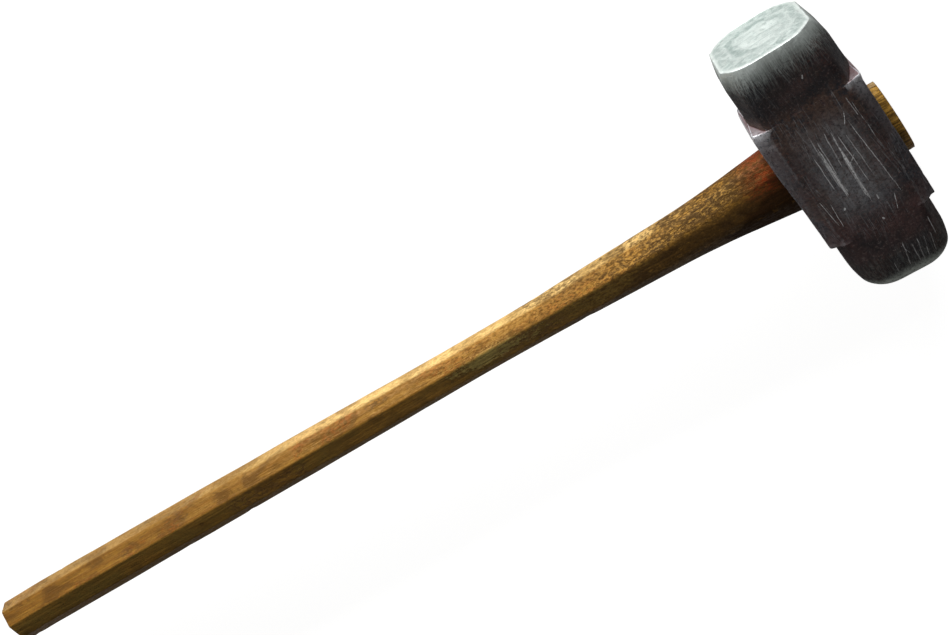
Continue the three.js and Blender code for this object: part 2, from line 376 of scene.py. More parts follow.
# %% [markdown]
# The forging's surface is uneven: broad hollows left by the power hammer, a finer ripple where
# the scale flaked off, and knocks along the edges from years of work. The unevenness goes in
# as much as out, a sixth of a millimetre, so the head keeps its size and rests on its flat.

# %% Hammer marks and chipped edges
CHIPS, PECKS = 70, 60
chance = np.random.default_rng(11)
grid = head_rings.reshape(-1, 3)
edge_spots = np.flatnonzero((from_edge.ravel() < 1.5) & (shrink.repeat(head_rings.shape[1]) < 4))
struck_by = grid[chance.choice(edge_spots, CHIPS, replace=False)]
chip_sizes = chance.uniform(0.9, 2.6, CHIPS)
chips = knocks(head_rings, struck_by, chip_sizes, chance.uniform(0.12, 0.5, CHIPS))
flat_spots = np.flatnonzero(from_edge.ravel() > 4)
hit_at = grid[chance.choice(flat_spots, PECKS, replace=False)]
peck_sizes = chance.uniform(0.7, 2.2, PECKS)
pecks = knocks(head_rings, hit_at, peck_sizes, chance.uniform(0.06, 0.22, PECKS))
hollows = 0.17 * lumps(head_rings, 23, 1) + 0.07 * lumps(head_rings, 8, 2)
ripple = 0.035 * lumps(head_rings, 2.6, 3)
calm = np.clip(1.15 - 0.85 * (on_face > 0) * (at > 0)[:, None], 0.3, 1)
head_rings -= outward(head_rings) * ((hollows + ripple) * calm + chips + pecks)[:, :, None]
print("deepest mark", round(float((hollows + ripple + chips + pecks).max()), 2), "mm")

# %% Out of true
# Drawing the polls down under the hammer has left them a little wider on one side than the
# other, and the struck face leans by about two degrees.
SWAY_AT = (-109, -60, -56, -20, 10, 50, 60, 85, 108)
SWAY_PLUS_X = (0.4, 0.4, 1.4, 1.4, 0.9, 0.6, 2.4, 1.6, 0.2)
SWAY_MINUS_X = (-0.3, -0.8, 0, 0.4, 2.2, 2.8, 1.0, 1.6, 2.8)
FACE_LEAN = 0.032
places_y = head_rings[:, :, 1]
share = head_rings[:, :, 0] / (HEAD_WIDTH / MM / 2)
wider = np.interp(places_y, SWAY_AT, SWAY_PLUS_X) * np.clip(share, 0, 1)
wider -= np.interp(places_y, SWAY_AT, SWAY_MINUS_X) * np.clip(-share, 0, 1)
head_rings[:, :, 0] += wider
lean = FACE_LEAN * np.clip((places_y - 60) / 48, 0, 1)
head_rings[:, :, 1] -= lean * (head_rings[:, :, 2] - AXIS_HEIGHT / MM)
print("widest place", round(float(np.ptp(head_rings[:, :, 0])), 1), "mm")

# %% The forged head
head_marks = {"edge": from_edge * MM, "face": on_face, "step": on_step}
head_marks["shoulder"] = from_shoulder * MM
head_piece = skin("head_forging", head_rings * MM, head_marks)

# %% [markdown]
# ## The eye
# The eye is an oval hole, tightest at its middle, so that the tongue can swell into it from
# both ends. It is cut with one Boolean, because a hole through a stack of rings would break
# the rings. The cutter opens out a little where it leaves the head, which eases the rim.

# %% Oval rings along X
EYE_PLACES = (-40.8, 0, 40.8)
EYE_HALF_LENGTHS = (28, 26.6, 30.6)
EYE_HALF_DEPTHS = (17.2, 15.6, 17.8)
FIT_GAP = 0.3
turn = np.linspace(0, 2 * math.pi, 96, endpoint=False)


def eye_size(x):
    """The eye's half length and half depth at a place along X, in millimetres."""
    return (
        np.interp(x, EYE_PLACES, EYE_HALF_LENGTHS),
        np.interp(x, EYE_PLACES, EYE_HALF_DEPTHS),
    )


def along_x(x, half_y, half_z, outline):
    """Rings on the X axis: a unit outline (place, 2) is scaled by half_y and half_z."""
    rings = np.empty((len(x), len(outline), 3))
    rings[:, :, 0] = x[:, None]
    rings[:, :, 1] = half_y[:, None] * outline[:, 0]
    rings[:, :, 2] = half_z[:, None] * outline[:, 1] + AXIS_HEIGHT / MM
    return rings


# %% Cut the eye
eye_x = np.array([-46, -41.4, -40.2, -39.6, -20, 0, 20, 38.8, 39.8, 41.4, 46], float)
eye_y, eye_z = eye_size(eye_x)
rim = np.where(eye_x < 0, -39.6 - eye_x, eye_x - 38.8).clip(0, 2.6)
eye_oval = np.stack([np.cos(turn), np.sin(turn)], 1)
eye_rings = along_x(eye_x, eye_y + rim, eye_z + rim, eye_oval)
far_off = np.full(eye_rings.shape[:2], 0.02)
eye_cutter = skin("eye_cutter", eye_rings * MM, {"edge": far_off})
carve(head_piece, [eye_cutter])

# %% [markdown]
# ## The haft
# The haft is split hickory, sawn to eight sides and shaved with a drawknife: thinnest at the
# waist, swelling to the neck, and flared where it meets the head. Its sides follow one smooth
# curve through a few widths that a maker would mark on the blank. A Catmull-Rom curve passes
# through its points exactly, so those marks are the only numbers needed. Towards the head the
# eight edges are rasped rounder, and the butt is sawn a touch out of square.

# %% Widths along the haft
HAFT_MARKS = [
    (BUTT_END / MM + 0.8, 19.7),
    (-760, 19.4),
    (-570.5, 18.1),
    (-445, 17.3),
    (-300, 15.9),
    (-188, 18.1),
    (-114.8, 20.9),
    (-41.1, 29.0),
]
SHOULDER = -41.1


def smooth_through(marks, steps):
    """A Catmull-Rom curve through the marks. On each span it is the cubic
    P1 + (t(P2-P0) + t^2(2P0-5P1+4P2-P3) + t^3(3P1-P0-3P2+P3)) / 2, end marks repeated."""
    marks = np.asarray(marks, float)
    padded = np.vstack([marks[:1], marks, marks[-1:]])
    t = np.linspace(0, 1, steps, endpoint=False)[:, None]
    spans = []
    for p0, p1, p2, p3 in zip(padded, padded[1:], padded[2:], padded[3:]):
        bend = 2 * p0 - 5 * p1 + 4 * p2 - p3
        twist = 3 * p1 - p0 - 3 * p2 + p3
        spans.append(p1 + (t * (p2 - p0) + t**2 * bend + t**3 * twist) / 2)
    return np.vstack(spans + [marks[-1:]])


def smooth_step(value, low, high):
    """0 below low, 1 above high, and 3t^2 - 2t^3 between."""
    t = np.clip((value - low) / (high - low), 0, 1)
    return t * t * (3 - 2 * t)


curve = smooth_through(HAFT_MARKS, 40)
SAWN_ALLOWANCE = 0.35
BODY_SPACING = 1.9
body_x = np.arange(BUTT_END / MM + 0.8, SHOULDER, BODY_SPACING)
body_x = np.r_[body_x[:-1], SHOULDER - 0.9, SHOULDER - 0.3]
body_y = np.interp(body_x, curve[:, 0], curve[:, 1]) + SAWN_ALLOWANCE
neck_depth = np.interp(body_x, (-114.8, SHOULDER), (18.0, 18.9))
body_z = body_y + (neck_depth - body_y) * smooth_step(body_x, -177.8, -114.8)
print("haft waist", round(2 * body_y.min(), 1), "mm across")

# %% The eight-sided body
FLAT_STEPS_HAFT, ARC_STEPS_HAFT = 8, 6
side_turn = math.pi / 8 + np.arange(8) * math.pi / 4
unit_corners = np.stack([np.cos(side_turn), np.sin(side_turn)], 1) / math.cos(math.pi / 8)


def haft_sections(half_y, half_z, softness):
    """Eight-sided outlines with soft corners, and each point's distance from a corner."""
    corners = unit_corners[None] * np.stack([half_y, half_z], 1)[:, None]
    outline = rounded_outline(corners, softness, FLAT_STEPS_HAFT, ARC_STEPS_HAFT)
    return outline, corner_distance(outline, corners)


crisp = 1.2 + 4.5 * smooth_step(body_x, -230, -60)
rubbed_round = 2.0 + 4.5 * smooth_step(body_x, -700, -420) + 1.0 * smooth_step(body_x, -160, -60)
# Corners 0, 3, 4 and 7 lie beside the flats that face along Y, where hands and the bench rub.
softness = np.stack([rubbed_round, crisp, crisp, rubbed_round] * 2, 1)
body_outline, body_edge = haft_sections(body_y, body_z, softness)
body_rings = np.empty(body_outline.shape[:2] + (3,))
body_rings[:, :, 0] = body_x[:, None]
body_rings[:, :, 1:] = body_outline

# %% The butt's eased end
butt_scale = np.array([0.03, 0.15, 0.3, 0.45, 0.6, 0.72, 0.82, 0.9, 0.945, 0.965, 0.982])
butt_out = np.array([0, 0, 0, 0, 0, 0, 0, 0, 0.04, 0.2, 0.5])
butt_rings = np.repeat(body_rings[:1], len(butt_scale), axis=0)
butt_rings[:, :, 1:] *= butt_scale[:, None, None]
butt_rings[:, :, 0] = BUTT_END / MM + butt_out[:, None]
butt_edge = np.repeat((1 - butt_scale)[:, None] * 20.5, body_rings.shape[1], axis=1)

# %% The tongue in the eye
tongue_x = np.r_[SHOULDER, np.arange(-40.8, 47.2, 2.2), 47.6, 48.2, 48.6]
tongue_y, tongue_z = eye_size(tongue_x)
tongue_ease = np.where(tongue_x > 47, (tongue_x - 47) ** 2 * 0.5, 0)
direction = body_outline[-1] / np.array([body_y[-1], body_z[-1]])
direction = direction / np.linalg.norm(direction, axis=1, keepdims=True)
clearance = FIT_GAP + tongue_ease
tongue_rings = np.empty((len(tongue_x), len(direction), 3))
tongue_rings[:, :, 0] = tongue_x[:, None]
tongue_rings[:, :, 1:] = direction * np.stack([tongue_y - clearance, tongue_z - clearance], 1)[:, None]
tip_scale = np.array([0.93, 0.8, 0.65, 0.5, 0.35, 0.2, 0.05])
tip_rings = np.repeat(tongue_rings[-1:], len(tip_scale), axis=0)
tip_rings[:, :, 1:] *= tip_scale[:, None, None]
tip_rings[:, :, 0] = TONGUE_END / MM - 0.06 * tip_scale[:, None] ** 2
tongue_edge = np.minimum(15, 48.8 - tongue_x)[:, None] + np.zeros(len(direction))
tip_edge = (1 - tip_scale)[:, None] * 17 + np.zeros(len(direction))

# %% [markdown]
# A shaved haft is never quite straight or even. A long slow bow, the drawknife's flats and a
# few bruises are added as one sum. The marks fade out in the tongue, which has to fit the eye.

# %% Shaving marks and bruises
haft_rings = np.concatenate([butt_rings, body_rings, tongue_rings, tip_rings])
haft_edge = np.concatenate([butt_edge, body_edge, tongue_edge, tip_edge])
free = 1 - smooth_step(haft_rings[:, :, 0], -75, SHOULDER)
stretched = haft_rings * np.array([0.16, 1, 1])
shaving = 0.22 * lumps(stretched, 9, 21) + 0.1 * lumps(stretched, 3.5, 22)
flaked = smooth_step(lumps(haft_rings * np.array([0.5, 1, 1]), 16, 23), 0.25, 0.6)
shaving -= 0.12 * flaked * (1 + lumps(haft_rings * np.array([0.5, 1, 1]), 2.4, 24))
spots = np.flatnonzero((haft_rings[:, :, 0].ravel() < -60) & (haft_edge.ravel() < 3))
bruised = haft_rings.reshape(-1, 3)[chance.choice(spots, 60, replace=False)]
bruises = knocks(haft_rings, bruised, chance.uniform(1.5, 5, 60), chance.uniform(0.1, 0.45, 60))
haft_rings = haft_rings + outward(haft_rings) * ((shaving - bruises) * free)[:, :, None]
out_of_square = smooth_step(-haft_rings[:, :, 0], -BUTT_END / MM - 40, -BUTT_END / MM)
sawn = 0.16 * haft_rings[:, :, 1] - 0.27 * haft_rings[:, :, 2] + 3.5
haft_rings[:, :, 0] -= sawn * out_of_square
haft_rings[:, :, 1] -= 0.7 * out_of_square
bowed = np.exp(-(((haft_rings[:, :, 0] + 330) / 190) ** 2))
haft_rings[:, :, 1] -= 0.7 * bowed
haft_rings[:, :, 2] += AXIS_HEIGHT / MM
haft_flaked = flaked * free
haft_piece = skin("hickory_haft", haft_rings * MM, {"edge": haft_edge * MM, "flaked": haft_flaked})

# %% [markdown]
# ## The wedges
# A wooden wedge is driven along the tongue and two steel ones across it, so the tongue swells
# both ways. Each is a tapered blade. The same rings make the blade itself and, a little
# larger, the kerf that is cut for it. The steel ones have been hit until their heads have
# bulged at the edges, and their corners are round.

# %% A tapered blade as rings along X
def blade(reach, thick, tip, wide, grow, corner, lie_flat, at_y, ends):
    """Rings of a wedge, in millimetres. Its thickness falls evenly from thick at the head to
    tip at its point. lie_flat puts the thickness along Z, otherwise it is along Y. ends is a
    list of pairs: place along X and how much of the section is left there."""
    x = np.array([place for place, _ in ends], float)
    scale = np.array([left for _, left in ends])
    taper = np.interp(x, (TONGUE_END / MM - reach, TONGUE_END / MM), (tip, thick))
    half_thick = taper / 2 + grow
    half_wide = np.full(len(x), wide / 2 + grow)
    half = np.stack([half_wide, half_thick] if lie_flat else [half_thick, half_wide], 1)
    square = np.array([(1, 1), (-1, 1), (-1, -1), (1, -1)], float)
    corners = square[None] * half[:, None]
    outline = rounded_outline(corners, np.full((len(x), 4), corner), 24, 6)
    gap = corner_distance(outline, corners)
    outline = outline * scale[:, None, None]
    rings = np.empty(outline.shape[:2] + (3,))
    rings[:, :, 0] = x[:, None]
    rings[:, :, 1:] = outline
    rings[:, :, 1] += at_y
    rings[:, :, 2] += AXIS_HEIGHT / MM
    return rings, gap


END = TONGUE_END / MM
WOOD_REACH, STEEL_REACH = 56, 34
WOOD_WEDGE = {"reach": WOOD_REACH, "thick": 8.4, "tip": 2.4, "wide": 70, "lie_flat": True}
STEEL_WEDGE = {"reach": STEEL_REACH, "thick": 4.6, "tip": 1.4, "wide": 23, "lie_flat": False}
STEEL_PLACES = {"struck": 14, "plain": -14}


def kerf(name, sizes, at_y):
    """A cutter for a wedge's slot: the blade grown by the fit, run out past the end."""
    ends = [(END - sizes["reach"] - FIT_GAP, 1), (END, 1), (END + 4, 1)]
    rings, gap = blade(grow=FIT_GAP, corner=0.2, at_y=at_y, ends=ends, **sizes)
    return skin(name, rings * MM, {"edge": np.full(gap.shape, 0.004)})


# %% Cut the kerfs in the tongue
slots = [kerf("kerf_long", WOOD_WEDGE, 0)]
slots += [kerf("kerf_" + side, STEEL_WEDGE, y) for side, y in STEEL_PLACES.items()]
carve(haft_piece, slots)

# %% The wooden wedge
wood_x = np.r_[END - WOOD_REACH, END - WOOD_REACH + 0.4, np.arange(END - 54, END - 1, 1.5), END - 0.5]
wood_y, wood_z = eye_size(wood_x)
half_thick = np.interp(wood_x, (END - WOOD_REACH, END), (1.2, 4.2))
oval_y = (wood_y - FIT_GAP) * np.sqrt(1 - (half_thick / wood_z) ** 2)
side_y = np.minimum(wood_y - FIT_GAP - 0.35, oval_y + 0.6)
wedge_x = np.stack([side_y, oval_y, -oval_y, -side_y, -side_y, -oval_y, oval_y, side_y], 1)
mid_z = 0.45 * half_thick
wedge_z = np.stack([mid_z, half_thick, half_thick, mid_z, -mid_z, -half_thick, -half_thick, -mid_z], 1)
wedge_corners = np.stack([wedge_x, wedge_z], 2)
wedge_outline = rounded_outline(wedge_corners, np.full((len(wood_x), 8), 0.35), 10, 4)
wood_scale = np.r_[0.97, np.ones(len(wood_x) - 1)]
wedge_outline = wedge_outline * wood_scale[:, None, None]
end_scale = np.array([0.985, 0.94, 0.8, 0.6, 0.4, 0.2, 0.05])
start_scale = np.array([0.05, 0.4, 0.75])
wedge_outline = np.concatenate(
    [
        wedge_outline[:1] * start_scale[:, None, None],
        wedge_outline,
        wedge_outline[-1:] * end_scale[:, None, None],
    ]
)
wood_x_all = np.r_[np.full(3, END - WOOD_REACH), wood_x, END - np.r_[0.2, 0.05, 0, 0, 0, 0, 0]]
wood_rings = np.empty(wedge_outline.shape[:2] + (3,))
wood_rings[:, :, 0] = wood_x_all[:, None]
wood_rings[:, :, 1:] = wedge_outline
wood_rings[:, :, 2] += AXIS_HEIGHT / MM
crushed = 0.12 * (1 + lumps(wood_rings, 1.6, 31)) * (wood_x_all > END - 3)[:, None]
wood_rings[:, :, 0] -= crushed
wood_marks = {"edge": np.full(wood_rings.shape[:2], 0.003)}
wood_wedge_piece = skin("wooden_wedge_blade", wood_rings * MM, wood_marks)
notches = [kerf("notch_" + side, STEEL_WEDGE, y) for side, y in STEEL_PLACES.items()]
carve(wood_wedge_piece, notches)

# %% The steel wedges
steel_ends = [(END - STEEL_REACH, 0.1), (END - STEEL_REACH, 0.6), (END - STEEL_REACH + 0.3, 0.97)]
steel_ends += [(x, 1) for x in np.arange(END - 33, END - 2.4, 1.2)]
steel_ends += [(END - 1.6, 1.01), (END - 0.8, 1.02), (END - 0.3, 1.0), (END - 0.08, 0.93)]
steel_ends += [(END, 0.8), (END, 0.6), (END, 0.4), (END, 0.2), (END, 0.05)]
steel_wedge_pieces = []
for side, y in STEEL_PLACES.items():
    rings, gap = blade(grow=0, corner=0.5, at_y=y, ends=steel_ends, **STEEL_WEDGE)
    beaten = 0.1 * (1 + lumps(rings + y * 3, 2.2, 41)) * (rings[:, :, 0] > END - 2)
    rings[:, :, 0] -= beaten
    gap = np.minimum(gap, np.abs(END - rings[:, :, 0]) + 0.2)
    steel_wedge_pieces.append(skin("steel_wedge_" + side + "_side", rings * MM, {"edge": gap * MM}))

# %% [markdown]
# ## Wiring materials
# Materials are graphs of nodes. Adding and linking nodes one at a time is long and hard to
# read, so a few helpers say it in words: put() adds any node, and the others add one kind and
# give back its result. Every pattern reads Object coordinates, in metres, because the pieces'
# places are in their meshes: a pattern then has its real size and stays on the piece.

# %% Adding nodes and feeding them
def feed(node, sockets):
    """Links or sets a node's inputs. sockets maps an input's name or number to a value, or to
    another node's output, which is linked."""
    for key, value in sockets.items():
        if isinstance(value, bpy.types.NodeSocket):
            node.id_data.links.new(value, node.inputs[key])
        else:
            node.inputs[key].default_value = value
    return node


def put(tree, kind, sockets=None, **options):
    """Adds a node. options are its settings, and sockets is what feed() takes."""
    node = tree.nodes.new("ShaderNode" + kind)
    for key, value in options.items():
        setattr(node, key, value)
    return feed(node, sockets or {})


def tree_of(values):
    """The tree of the first value that is another node's output."""
    return next(value.id_data for value in values if isinstance(value, bpy.types.NodeSocket))


def use(group, sockets):
    """Places a group in its inputs' tree, and gives its outputs."""
    return feed(put(tree_of(sockets.values()), "Group", node_tree=group), sockets).outputs


def marked(tree, name):
    """The number that the mesh holds for each point under a name."""
    return put(tree, "Attribute", attribute_name=name).outputs["Fac"]


# %% Sums on values and vectors
def calc(operation, *values):
    """One kind of sum on any number of values, taken from the left."""
    total = values[0]
    for value in values[1:] or (0.0,):
        pair = {0: total, 1: value}
        total = put(tree_of(pair.values()), "Math", pair, operation=operation).outputs[0]
    return total


def times(*values):
    """The product of the values."""
    return calc("MULTIPLY", *values)


def plus(*values):
    """The sum of the values."""
    return calc("ADD", *values)


def minus(*values):
    """The first value less all the others."""
    return calc("SUBTRACT", *values)


def most(*values):
    """The greatest of the values."""
    return calc("MAXIMUM", *values)


def unsigned(value):
    """The value without its sign."""
    return calc("ABSOLUTE", value)


def vector(operation, a, b=(0, 0, 0), scale=1.0):
    """One sum on vectors. A length or a dot product comes back as a number."""
    sockets = {0: a, 1: b, 3: scale}
    outputs = put(tree_of(sockets.values()), "VectorMath", sockets, operation=operation).outputs
    return outputs["Value" if operation in ("LENGTH", "DOT_PRODUCT") else "Vector"]


# %% Patterns, ramps and layers
def noise(where, scale, detail=4, roughness=0.55, distortion=0):
    """Cloudy values, mostly from 0.3 to 0.7. scale is how many blobs there are in a metre."""
    sockets = {"Vector": where, "Scale": scale, "Detail": detail}
    sockets.update({"Roughness": roughness, "Distortion": distortion})
    return put(where.id_data, "TexNoise", sockets).outputs[0]


def mapped(where, scale=(1, 1, 1), turn=(0, 0, 0), move=(0, 0, 0)):
    """Stretches, turns and moves the place that a pattern reads."""
    sockets = {"Vector": where, "Scale": scale, "Rotation": turn, "Location": move}
    return put(where.id_data, "Mapping", sockets).outputs[0]


def stretched_noise(where, scale, detail, roughness, move=(0, 0, 0)):
    """Cloudy values with their own number of blobs in a metre along X, Y and Z."""
    return noise(mapped(where, scale=scale, move=move), 1, detail, roughness)


def ease(value, low, high, out_low=0.0, out_high=1.0):
    """Smoothly maps low..high to out_low..out_high, and stays flat outside."""
    sockets = {"Value": value, "From Min": low, "From Max": high}
    sockets.update({"To Min": out_low, "To Max": out_high})
    return put(value.id_data, "MapRange", sockets, interpolation_type="SMOOTHSTEP").outputs[0]


def window(value, rise_from, rise_to, fall_from, fall_to):
    """Rises smoothly from 0 to 1 over the first span, and falls back to 0 over the second."""
    return times(ease(value, rise_from, rise_to), ease(value, fall_to, fall_from))


def tint(amount, under, over):
    """Lays one colour over another by an amount from 0 to 1."""
    under = under if isinstance(under, bpy.types.NodeSocket) else (*under, 1)
    over = over if isinstance(over, bpy.types.NodeSocket) else (*over, 1)
    sockets = {0: amount, 6: under, 7: over}
    return put(amount.id_data, "Mix", sockets, data_type="RGBA").outputs[2]


# %% Starting a group or a material
def new_group(name, inputs, outputs):
    """An empty node group with named sockets: its inputs and its output node. inputs maps a
    name to a number, or to three for a vector. outputs are names of numbers."""
    tree = bpy.data.node_groups.new(name, "ShaderNodeTree")
    for socket, value in inputs.items():
        kind = "NodeSocketFloat" if isinstance(value, float) else "NodeSocketVector"
        made = tree.interface.new_socket(socket, in_out="INPUT", socket_type=kind)
        made.default_value = value
    for socket in outputs:
        tree.interface.new_socket(socket, in_out="OUTPUT", socket_type="NodeSocketFloat")
    entry = tree.nodes.new("NodeGroupInput").outputs
    return tree, entry, tree.nodes.new("NodeGroupOutput")


def new_material(name):
    """A material with an empty tree: its Principled shader and its Object coordinates."""
    material = bpy.data.materials.new(name)
    material.use_nodes = True
    tree = material.node_tree
    tree.nodes.clear()
    shader = put(tree, "BsdfPrincipled")
    put(tree, "OutputMaterial", {0: shader.outputs[0]})
    return material, tree, shader, put(tree, "TexCoord").outputs["Object"]


def places_and_normals(tree, place):
    """Three numbers for where a point is, and three for the way it faces."""
    facing = put(tree, "NewGeometry").outputs["Normal"]
    where = put(tree, "SeparateXYZ", {0: place}).outputs
    return *where, *put(tree, "SeparateXYZ", {0: facing}).outputs


def bumped(relief, strength, distance):
    """A normal that follows a relief, which is as deep as distance where it is 1."""
    sockets = {"Height": relief, "Strength": strength, "Distance": distance}
    return put(relief.id_data, "Bump", sockets).outputs[0]


def dress(piece, material):
    """Gives a piece its one material."""
    piece.data.materials.clear()
    piece.data.materials.append(material)


# %% [markdown]
# ## Effects that several finishes share
# Worn edges, hair scratches, blotches and wood grain each appear on more than one piece, so
# each is a node group with named sockets.

# %% Worn edges
AT_ORIGIN = (0.0, 0.0, 0.0)
sockets = {"Vector": AT_ORIGIN, "Width": 0.002, "Ragged": 0.002}
worn_edge, entry, leave = new_group("worn edge", sockets, ["Mask"])
tatter = minus(noise(entry["Vector"], 260, 5, 0.65), 0.5)
ragged = plus(marked(worn_edge, "edge"), times(tatter, entry["Ragged"], 4.0))
feed(leave, {"Mask": ease(ragged, entry["Width"], 0.0)})

# %% Hair scratches
# The lines run along the group's own Y. Each layer is the thin contour of a very stretched
# noise, turned a little, and a broader noise keeps it only in places.
sockets = {"Vector": AT_ORIGIN, "Thinness": 0.02, "Cover": 0.5}
hair_scratches, entry, leave = new_group("hair scratches", sockets, ["Mask"])
layers = []
for number, tilt in enumerate((-7, 2, 11)):
    tilted = mapped(entry["Vector"], turn=(0, 0, math.radians(tilt)))
    field = stretched_noise(tilted, (420, 9, 420), 2, 0.5, (number * 3.1, number, 5))
    line = ease(unsigned(minus(field, 0.5)), entry["Thinness"], 0.0)
    cover = stretched_noise(entry["Vector"], (90, 30, 90), 3, 0.6, (7 * number, 1, 2))
    cover = plus(cover, minus(entry["Cover"], 0.5))
    layers.append(times(line, ease(cover, 0.5, 0.62)))
feed(leave, {"Mask": most(*layers)})

# %% Blotches and pits
sockets = {"Vector": AT_ORIGIN, "Scale": 40.0}
blotches, entry, leave = new_group("blotches", sockets, ["Broad", "Fine", "Pits"])
broad = noise(entry["Vector"], entry["Scale"], 5, 0.6, 0.6)
finer = times(entry["Scale"], 6.0)
fine = noise(entry["Vector"], finer, 5, 0.7, 0.3)
cells = put(blotches, "TexVoronoi", {"Vector": entry["Vector"], "Scale": finer}).outputs[0]
pits = times(ease(cells, 0.32, 0.08), ease(broad, 0.48, 0.62))
feed(leave, {"Broad": ease(broad, 0.32, 0.68), "Fine": ease(fine, 0.3, 0.7), "Pits": pits})

# %% Wood grain
sockets = {"Vector": AT_ORIGIN, "Ring Width": 0.0022}
wood_grain, entry, leave = new_group("wood grain", sockets, ["Rings", "Fibre", "Pores"])
slow = stretched_noise(entry["Vector"], (5, 30, 30), 3, 0.5)
split = put(wood_grain, "SeparateXYZ", {0: entry["Vector"]}).outputs
bent = plus(split["Y"], times(slow, 0.022), times(split["Z"], 0.35))
saw = calc("FRACT", calc("DIVIDE", bent, entry["Ring Width"]))
fibre = stretched_noise(entry["Vector"], (26, 620, 620), 4, 0.6)
pore = stretched_noise(entry["Vector"], (110, 1500, 1500), 2, 0.5)
feed(leave, {"Rings": times(ease(saw, 0.0, 0.8), ease(saw, 1.0, 0.86))})
feed(leave, {"Fibre": ease(fibre, 0.3, 0.7), "Pores": ease(pore, 0.62, 0.7)})

# %% [markdown]
# ## Forged steel
# The head has a coat of dark forging scale, with brown rust, red and blue-black patches. It
# has worn to bluish grey in the middle of the cheeks, and to bare bright metal on the struck
# face. The brightness runs off the face's edge in fine streaks along the head. The steps
# beside the cheeks are rubbed to a pinkish colour, and their outer corners to bright metal.
# Near the struck side's shoulder these corners and the strips along the cheeks' long edges
# are painted brighter still, as a highlight. The polls' -X sides are painted near black, as
# shade.
# Each of these is a mask, from a place, an attribute or a noise, that lays one colour over the
# one before. Deep scratches on the cheek are laid one by one, because a noise can't say where
# a scratch starts and stops.

# %% A single scratch
# The share is how far the point lies along the scratch, from 0 at its start to 1 at its end:
# (p - start) . run / (run . run). The mask fades with the distance from the nearest place.
sockets = {"Vector": AT_ORIGIN, "Start": AT_ORIGIN, "Run": (0.0, 0.01, 0.0), "Half Width": 0.0003}
scratch, entry, leave = new_group("single scratch", sockets, ["Mask"])
wobble = put(scratch, "TexNoise", {"Vector": entry["Vector"], "Scale": 70.0, "Detail": 2.0}).outputs[1]
wobble = vector("SCALE", vector("SUBTRACT", wobble, (0.5, 0.5, 0.5)), scale=0.0013)
offset = vector("SUBTRACT", vector("ADD", entry["Vector"], wobble), entry["Start"])
along_run = vector("DOT_PRODUCT", offset, entry["Run"])
share = calc("DIVIDE", along_run, vector("DOT_PRODUCT", entry["Run"], entry["Run"]))
share = put(scratch, "Clamp", {0: share}).outputs[0]
nearest = vector("SCALE", entry["Run"], scale=share)
gap = vector("LENGTH", vector("SUBTRACT", offset, nearest))
taper = ease(times(minus(1.0, share), share), 0.0, 0.12, 0.25, 1.0)
width = times(entry["Half Width"], taper)
feed(leave, {"Mask": ease(gap, width, times(width, 0.35))})

# %% Where the scratches are
# Each row, in millimetres on the upper cheek: start X and Y, end X and Y, width.
CHEEK_SCRATCHES = [
    (4, 30, 2, -34, 1.6),
    (3, 12, 2, -30, 3.2),
    (-9, 24, -10, -22, 1.4),
    (-10, 14, -9, -20, 3.4),
    (-10, 35, -11, -14, 1.2),
    (-7, 30, -8, -8, 0.9),
    (0, 34, -2, 2, 1.1),
    (7, 26, 8, -20, 0.9),
    (12, 24, 13, -16, 0.9),
    (-15, 20, -15, -12, 0.9),
    (25, 49, 26, 30, 0.9),
    (18, 32, 23, -40, 0.8),
    (27, 44, 28, 8, 0.6),
    (9, 6, 2, -1, 0.9),
    (18, -36, 14, -51, 0.8),
    (-29, -13, -26, -39, 0.9),
    (-23, -20, -24, -42, 0.6),
    (19, 39, 15, 30, 0.9),
    (7, -31, 7, -35, 1.3),
    (2, -50, 3, -52, 1.8),
    (-16, -28, -17, -30, 1.8),
    (9, 80, 8, 77, 1.4),
    (4, -76, 1, -97, 1.3),
    (2, -78, 5, -88, 0.7),
    (9, -80, 8, -100, 0.9),
    (14, -78, 11, -99, 1.0),
    (19, -79, 15, -98, 0.8),
    (24, -80, 21, -97, 0.8),
    (28, -67, 27, -84, 0.9),
    (-8, -88, -9, -100, 0.8),
]

# %% Colours of the steel
SCALE_DARK = (0.020, 0.016, 0.018)
SCALE_BROWN = (0.075, 0.044, 0.034)
SCALE_PURPLE = (0.070, 0.040, 0.040)
SCALE_BLUE = (0.018, 0.024, 0.034)
POLL_SHADE_BLACK = (0.006, 0.006, 0.009)
RUST_RED = (0.17, 0.055, 0.032)
RUST_BROWN = (0.115, 0.066, 0.046)
RUST_PURPLE = (0.105, 0.050, 0.049)
GRIT_DARK = (0.018, 0.014, 0.016)
GRIT_LIGHT = (0.26, 0.21, 0.19)
WORN_GREY = (0.30, 0.305, 0.32)
STRIP_GREY = (0.19, 0.18, 0.195)
STRIP_HIGHLIGHT = (0.62, 0.62, 0.66)
BRIGHT_EDGE = (0.92, 0.92, 0.96)
BAND_GREY = (0.52, 0.58, 0.55)
BARE_WHITE = (0.92, 0.99, 0.95)
FACE_GREY = (0.42, 0.51, 0.48)
STEP_PINK = (0.42, 0.21, 0.215)
STEP_RED = (0.16, 0.042, 0.038)
SCRATCH_WHITE = (0.95, 0.95, 0.96)
